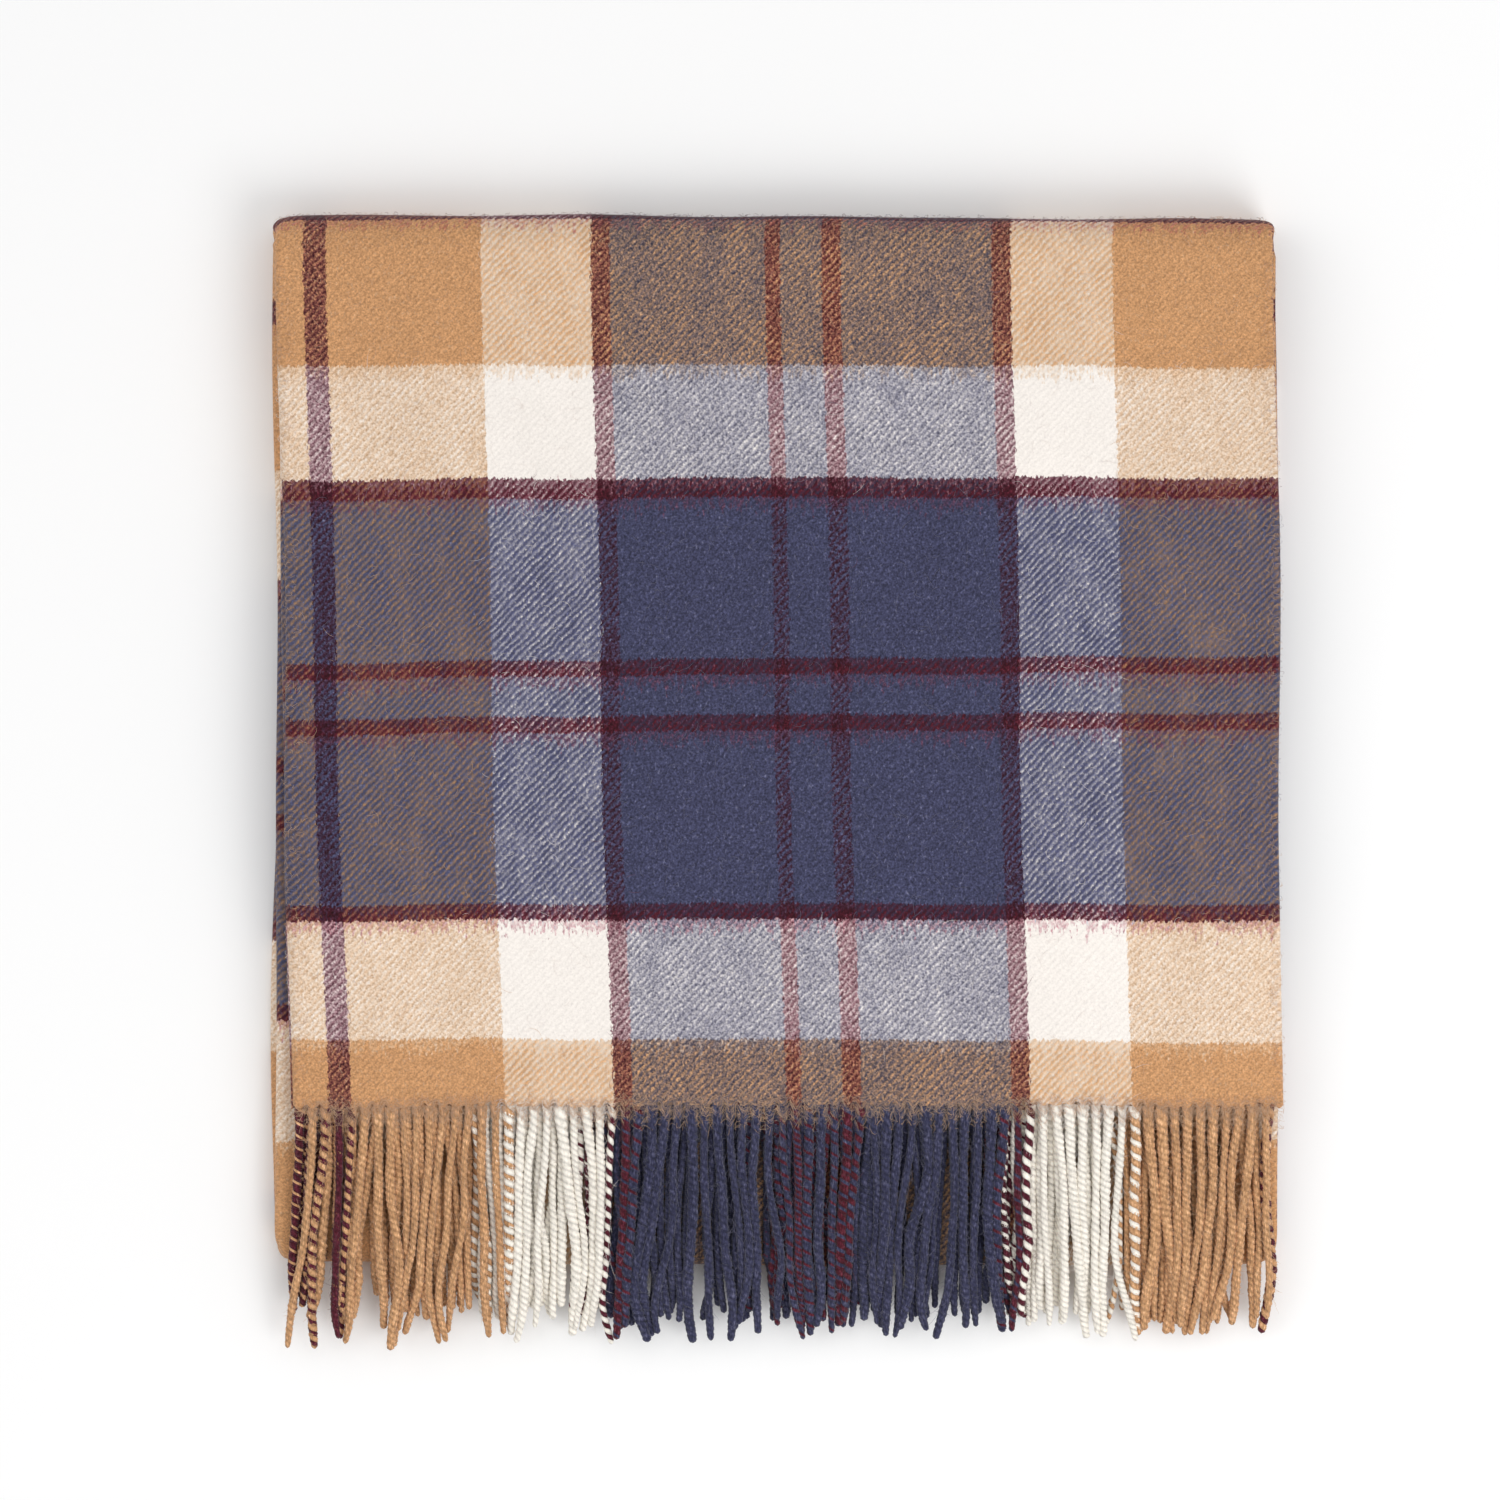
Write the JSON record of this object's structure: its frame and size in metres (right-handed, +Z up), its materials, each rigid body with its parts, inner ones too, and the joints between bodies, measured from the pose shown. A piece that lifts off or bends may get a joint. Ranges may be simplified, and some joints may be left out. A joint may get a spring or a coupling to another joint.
{
  "type": "folded throw blanket",
  "caption": "Brushed wool plaid throw, folded in thirds and twice in half into a flat square stack, with twisted tassels hanging over its front edge.",
  "frame": {"origin": "on the surface that the folded throw lies on, under the middle of its overall box", "axes": "+Z up through the layers, +X towards the right side fold, +Y towards the top fold, so the front tassels point towards -Y"},
  "size_m": [0.486, 0.545, 0.036],
  "materials": {
    "plaid_cloth": "matte",
    "camel_yarn": "matte",
    "ivory_yarn": "matte",
    "navy_yarn": "matte",
    "burgundy_yarn": "matte"
  },
  "bodies": {
    "lower_half": {"base_centre_panel": "plaid_cloth", "base_left_side_fold": "plaid_cloth", "base_left_third": "plaid_cloth", "base_right_side_fold": "plaid_cloth", "base_right_third": "plaid_cloth", "bottom_fold_centre_panel": "plaid_cloth", "bottom_fold_left_third": "plaid_cloth", "bottom_fold_right_third": "plaid_cloth", "inner_top_fold_centre_panel": "plaid_cloth", "inner_top_fold_left_third": "plaid_cloth", "inner_top_fold_right_third": "plaid_cloth", "lap_centre_panel": "plaid_cloth", "lap_left_side_fold": "plaid_cloth", "lap_left_third": "plaid_cloth", "lap_right_side_fold": "plaid_cloth", "lap_right_third": "plaid_cloth", "outer_top_fold_centre_panel": "plaid_cloth", "outer_top_fold_left_third": "plaid_cloth", "outer_top_fold_right_third": "plaid_cloth"},
    "upper_half": {"front_centre_panel": "plaid_cloth", "front_centre_panel_burgundy_tassels": "burgundy_yarn", "front_centre_panel_camel_tassels": "camel_yarn", "front_centre_panel_ivory_tassels": "ivory_yarn", "front_centre_panel_navy_tassels": "navy_yarn", "front_left_side_fold": "plaid_cloth", "front_left_third": "plaid_cloth", "front_left_third_burgundy_tassels": "burgundy_yarn", "front_left_third_camel_tassels": "camel_yarn", "front_left_third_ivory_tassels": "ivory_yarn", "front_left_third_navy_tassels": "navy_yarn", "front_right_side_fold": "plaid_cloth", "front_right_third": "plaid_cloth", "front_right_third_burgundy_tassels": "burgundy_yarn", "front_right_third_camel_tassels": "camel_yarn", "front_right_third_ivory_tassels": "ivory_yarn", "front_right_third_navy_tassels": "navy_yarn", "inner_end_centre_panel": "plaid_cloth", "inner_end_centre_panel_tassels": "camel_yarn", "inner_end_left_side_fold": "plaid_cloth", "inner_end_left_third": "plaid_cloth", "inner_end_left_third_tassels": "camel_yarn", "inner_end_right_side_fold": "plaid_cloth", "inner_end_right_third": "plaid_cloth", "inner_end_right_third_tassels": "camel_yarn"}
  },
  "joints": [
    {"name": "top_fold", "type": "hinge", "parent": "lower_half", "child": "upper_half", "pos_m": [0, 0.25475, 0.01775], "axis": [-1, 0, 0], "range_deg": [0, 179.9], "deforming": ["inner_top_fold_centre_panel", "inner_top_fold_left_third", "inner_top_fold_right_third", "outer_top_fold_centre_panel", "outer_top_fold_left_third", "outer_top_fold_right_third"]}
  ]
}
